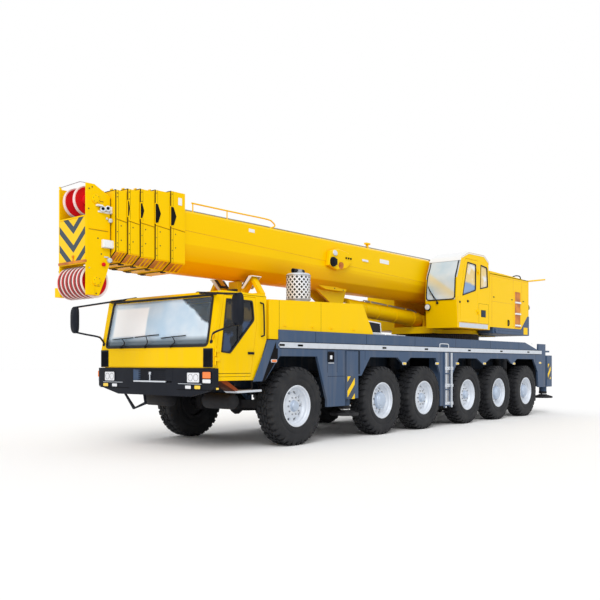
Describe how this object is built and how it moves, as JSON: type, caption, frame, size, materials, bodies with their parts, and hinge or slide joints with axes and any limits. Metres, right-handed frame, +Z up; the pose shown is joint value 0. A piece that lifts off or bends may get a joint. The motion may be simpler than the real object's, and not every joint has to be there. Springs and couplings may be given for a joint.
{
  "type": "mobile crane",
  "caption": "Yellow and grey all-terrain mobile crane in road position, with telescopic boom, slewing upper part, two cabs and outriggers.",
  "frame": {"origin": "bottom centre of the bounding box, on the ground under the middle of the machine", "axes": "+X towards the carrier front and the boom head, +Y to the machine left, +Z up"},
  "size_m": [15.075, 4.44, 4.211],
  "materials": {
    "yellow_paint": "gloss",
    "grey_paint": "satin",
    "dark_steel": "matt",
    "black_plastic": "matt",
    "tyre_rubber": "matt",
    "silver_steel": "satin",
    "red_sheave": "satin"
  },
  "bodies": {
    "chassis": {"chassis_frame": "grey_paint", "axles_front": "dark_steel", "axles_back": "dark_steel", "carrier_body": "grey_paint", "engine_hood": "yellow_paint", "engine": "dark_steel", "muffler": "silver_steel", "carrier_cab": "yellow_paint", "carrier_interior": "black_plastic", "front_bumper": "black_plastic", "slewing_ring": "dark_steel"},
    "superstructure": {"turntable": "yellow_paint", "machine_house_left": "yellow_paint", "machine_house_right": "yellow_paint", "counterweight": "grey_paint", "winch": "dark_steel", "operator_cab": "yellow_paint"},
    "operator_door": {"operator_door": "yellow_paint"},
    "door_left": {"door_left": "yellow_paint"},
    "door_right": {"door_right": "yellow_paint"},
    "lift_barrel": {"lift_barrel": "yellow_paint"},
    "lift_rod": {"lift_rod": "silver_steel"},
    "boom_section_1": {"boom_section_1": "yellow_paint"},
    "boom_section_2": {"boom_section_2": "yellow_paint"},
    "boom_section_3": {"boom_section_3": "yellow_paint"},
    "boom_section_4": {"boom_section_4": "yellow_paint"},
    "boom_section_5": {"boom_section_5": "yellow_paint"},
    "boom_head": {"boom_head": "yellow_paint", "sheaves_upper": "red_sheave", "sheaves_lower": "red_sheave"},
    "outrigger_front_left_beam": {"outrigger_front_left_beam": "grey_paint"},
    "outrigger_front_left_jack": {"outrigger_front_left_jack": "silver_steel"},
    "outrigger_front_right_beam": {"outrigger_front_right_beam": "grey_paint"},
    "outrigger_front_right_jack": {"outrigger_front_right_jack": "silver_steel"},
    "outrigger_back_left_beam": {"outrigger_back_left_beam": "grey_paint"},
    "outrigger_back_left_jack": {"outrigger_back_left_jack": "silver_steel"},
    "outrigger_back_right_beam": {"outrigger_back_right_beam": "grey_paint"},
    "outrigger_back_right_jack": {"outrigger_back_right_jack": "silver_steel"},
    "knuckle_1_left": {"knuckle_1_left": "dark_steel"},
    "knuckle_1_right": {"knuckle_1_right": "dark_steel"},
    "knuckle_2_left": {"knuckle_2_left": "dark_steel"},
    "knuckle_2_right": {"knuckle_2_right": "dark_steel"},
    "knuckle_5_left": {"knuckle_5_left": "dark_steel"},
    "knuckle_5_right": {"knuckle_5_right": "dark_steel"},
    "knuckle_6_left": {"knuckle_6_left": "dark_steel"},
    "knuckle_6_right": {"knuckle_6_right": "dark_steel"},
    "wheel_1_left": {"wheel_1_left": "tyre_rubber"},
    "wheel_1_right": {"wheel_1_right": "tyre_rubber"},
    "wheel_2_left": {"wheel_2_left": "tyre_rubber"},
    "wheel_2_right": {"wheel_2_right": "tyre_rubber"},
    "wheel_3_left": {"wheel_3_left": "tyre_rubber"},
    "wheel_3_right": {"wheel_3_right": "tyre_rubber"},
    "wheel_4_left": {"wheel_4_left": "tyre_rubber"},
    "wheel_4_right": {"wheel_4_right": "tyre_rubber"},
    "wheel_5_left": {"wheel_5_left": "tyre_rubber"},
    "wheel_5_right": {"wheel_5_right": "tyre_rubber"},
    "wheel_6_left": {"wheel_6_left": "tyre_rubber"},
    "wheel_6_right": {"wheel_6_right": "tyre_rubber"}
  },
  "joints": [
    {"name": "slew", "type": "hinge", "parent": "chassis", "child": "superstructure", "pos_m": [-3.4825, 0, 2.17], "axis": [0, 0, 1], "continuous": true},
    {"name": "luff", "type": "hinge", "parent": "superstructure", "child": "boom_section_1", "pos_m": [-5.0825, 0, 3.35], "axis": [0, -1, 0], "range_deg": [0, 80]},
    {"name": "lift_barrel_tilt", "type": "hinge", "parent": "superstructure", "child": "lift_barrel", "pos_m": [-2.6325, 0, 2.52], "axis": [0, -1, 0], "range_deg": [0, 93.6]},
    {"name": "lift_rod_stroke", "type": "slide", "parent": "lift_barrel", "child": "lift_rod", "axis": [0.9985, 0, 0.054], "range_m": [0, 3.13]},
    {"name": "telescope_1", "type": "slide", "parent": "boom_section_1", "child": "boom_section_2", "axis": [1, 0, 0], "range_m": [0, 9]},
    {"name": "telescope_2", "type": "slide", "parent": "boom_section_2", "child": "boom_section_3", "axis": [1, 0, 0], "range_m": [0, 9]},
    {"name": "telescope_3", "type": "slide", "parent": "boom_section_3", "child": "boom_section_4", "axis": [1, 0, 0], "range_m": [0, 9]},
    {"name": "telescope_4", "type": "slide", "parent": "boom_section_4", "child": "boom_section_5", "axis": [1, 0, 0], "range_m": [0, 9]},
    {"name": "telescope_5", "type": "slide", "parent": "boom_section_5", "child": "boom_head", "axis": [1, 0, 0], "range_m": [0, 9]},
    {"name": "door_left_hinge", "type": "hinge", "parent": "chassis", "child": "door_left", "pos_m": [5.8975, 1.466, 1.22], "axis": [0, 0, -1], "range_deg": [0, 70]},
    {"name": "door_right_hinge", "type": "hinge", "parent": "chassis", "child": "door_right", "pos_m": [5.8975, -1.466, 1.22], "axis": [0, 0, 1], "range_deg": [0, 70]},
    {"name": "operator_door_hinge", "type": "hinge", "parent": "superstructure", "child": "operator_door", "pos_m": [-2.9025, 1.466, 2.42], "axis": [0, 0, 1], "range_deg": [0, 80]},
    {"name": "outrigger_front_left_slide", "type": "slide", "parent": "chassis", "child": "outrigger_front_left_beam", "axis": [0, 1, 0], "range_m": [0, 1.85]},
    {"name": "outrigger_front_left_stroke", "type": "slide", "parent": "outrigger_front_left_beam", "child": "outrigger_front_left_jack", "axis": [0, 0, -1], "range_m": [0, 0.6]},
    {"name": "outrigger_front_right_slide", "type": "slide", "parent": "chassis", "child": "outrigger_front_right_beam", "axis": [0, -1, 0], "range_m": [0, 1.85]},
    {"name": "outrigger_front_right_stroke", "type": "slide", "parent": "outrigger_front_right_beam", "child": "outrigger_front_right_jack", "axis": [0, 0, -1], "range_m": [0, 0.6]},
    {"name": "outrigger_back_left_slide", "type": "slide", "parent": "chassis", "child": "outrigger_back_left_beam", "axis": [0, 1, 0], "range_m": [0, 1.85]},
    {"name": "outrigger_back_left_stroke", "type": "slide", "parent": "outrigger_back_left_beam", "child": "outrigger_back_left_jack", "axis": [0, 0, -1], "range_m": [0, 0.6]},
    {"name": "outrigger_back_right_slide", "type": "slide", "parent": "chassis", "child": "outrigger_back_right_beam", "axis": [0, -1, 0], "range_m": [0, 1.85]},
    {"name": "outrigger_back_right_stroke", "type": "slide", "parent": "outrigger_back_right_beam", "child": "outrigger_back_right_jack", "axis": [0, 0, -1], "range_m": [0, 0.6]},
    {"name": "steer_1_left", "type": "hinge", "parent": "chassis", "child": "knuckle_1_left", "pos_m": [3.9675, 1.02, 0.685], "axis": [0, 0, 1], "range_deg": [-30, 30]},
    {"name": "steer_1_right", "type": "hinge", "parent": "chassis", "child": "knuckle_1_right", "pos_m": [3.9675, -1.02, 0.685], "axis": [0, 0, 1], "range_deg": [-30, 30]},
    {"name": "steer_2_left", "type": "hinge", "parent": "chassis", "child": "knuckle_2_left", "pos_m": [1.3175, 1.02, 0.685], "axis": [0, 0, 1], "range_deg": [-16, 16]},
    {"name": "steer_2_right", "type": "hinge", "parent": "chassis", "child": "knuckle_2_right", "pos_m": [1.3175, -1.02, 0.685], "axis": [0, 0, 1], "range_deg": [-16, 16]},
    {"name": "steer_5_left", "type": "hinge", "parent": "chassis", "child": "knuckle_5_left", "pos_m": [-3.9825, 1.02, 0.685], "axis": [0, 0, 1], "range_deg": [-16.5, 16.5]},
    {"name": "steer_5_right", "type": "hinge", "parent": "chassis", "child": "knuckle_5_right", "pos_m": [-3.9825, -1.02, 0.685], "axis": [0, 0, 1], "range_deg": [-16.5, 16.5]},
    {"name": "steer_6_left", "type": "hinge", "parent": "chassis", "child": "knuckle_6_left", "pos_m": [-5.6625, 1.02, 0.685], "axis": [0, 0, 1], "range_deg": [-25.6, 25.6]},
    {"name": "steer_6_right", "type": "hinge", "parent": "chassis", "child": "knuckle_6_right", "pos_m": [-5.6625, -1.02, 0.685], "axis": [0, 0, 1], "range_deg": [-25.6, 25.6]},
    {"name": "wheel_1_left_spin", "type": "hinge", "parent": "knuckle_1_left", "child": "wheel_1_left", "pos_m": [3.9675, 1.3125, 0.685], "axis": [0, 1, 0], "continuous": true},
    {"name": "wheel_1_right_spin", "type": "hinge", "parent": "knuckle_1_right", "child": "wheel_1_right", "pos_m": [3.9675, -1.3125, 0.685], "axis": [0, 1, 0], "continuous": true},
    {"name": "wheel_2_left_spin", "type": "hinge", "parent": "knuckle_2_left", "child": "wheel_2_left", "pos_m": [1.3175, 1.3125, 0.685], "axis": [0, 1, 0], "continuous": true},
    {"name": "wheel_2_right_spin", "type": "hinge", "parent": "knuckle_2_right", "child": "wheel_2_right", "pos_m": [1.3175, -1.3125, 0.685], "axis": [0, 1, 0], "continuous": true},
    {"name": "wheel_3_left_spin", "type": "hinge", "parent": "chassis", "child": "wheel_3_left", "pos_m": [-0.3025, 1.3125, 0.685], "axis": [0, 1, 0], "continuous": true},
    {"name": "wheel_3_right_spin", "type": "hinge", "parent": "chassis", "child": "wheel_3_right", "pos_m": [-0.3025, -1.3125, 0.685], "axis": [0, 1, 0], "continuous": true},
    {"name": "wheel_4_left_spin", "type": "hinge", "parent": "chassis", "child": "wheel_4_left", "pos_m": [-2.3025, 1.3125, 0.685], "axis": [0, 1, 0], "continuous": true},
    {"name": "wheel_4_right_spin", "type": "hinge", "parent": "chassis", "child": "wheel_4_right", "pos_m": [-2.3025, -1.3125, 0.685], "axis": [0, 1, 0], "continuous": true},
    {"name": "wheel_5_left_spin", "type": "hinge", "parent": "knuckle_5_left", "child": "wheel_5_left", "pos_m": [-3.9825, 1.3125, 0.685], "axis": [0, 1, 0], "continuous": true},
    {"name": "wheel_5_right_spin", "type": "hinge", "parent": "knuckle_5_right", "child": "wheel_5_right", "pos_m": [-3.9825, -1.3125, 0.685], "axis": [0, 1, 0], "continuous": true},
    {"name": "wheel_6_left_spin", "type": "hinge", "parent": "knuckle_6_left", "child": "wheel_6_left", "pos_m": [-5.6625, 1.3125, 0.685], "axis": [0, 1, 0], "continuous": true},
    {"name": "wheel_6_right_spin", "type": "hinge", "parent": "knuckle_6_right", "child": "wheel_6_right", "pos_m": [-5.6625, -1.3125, 0.685], "axis": [0, 1, 0], "continuous": true}
  ],
  "couplings": [
    {"joint": "lift_barrel_tilt", "follows": "luff", "ratio": 1.1665},
    {"joint": "lift_rod_stroke", "follows": "luff", "m_per_rad": 2.2305},
    {"joint": "steer_1_right", "follows": "steer_1_left", "ratio": 1},
    {"joint": "steer_2_left", "follows": "steer_1_left", "ratio": 0.533},
    {"joint": "steer_2_right", "follows": "steer_1_left", "ratio": 0.533},
    {"joint": "steer_5_left", "follows": "steer_1_left", "ratio": -0.547},
    {"joint": "steer_5_right", "follows": "steer_1_left", "ratio": -0.547},
    {"joint": "steer_6_left", "follows": "steer_1_left", "ratio": -0.85},
    {"joint": "steer_6_right", "follows": "steer_1_left", "ratio": -0.85}
  ]
}
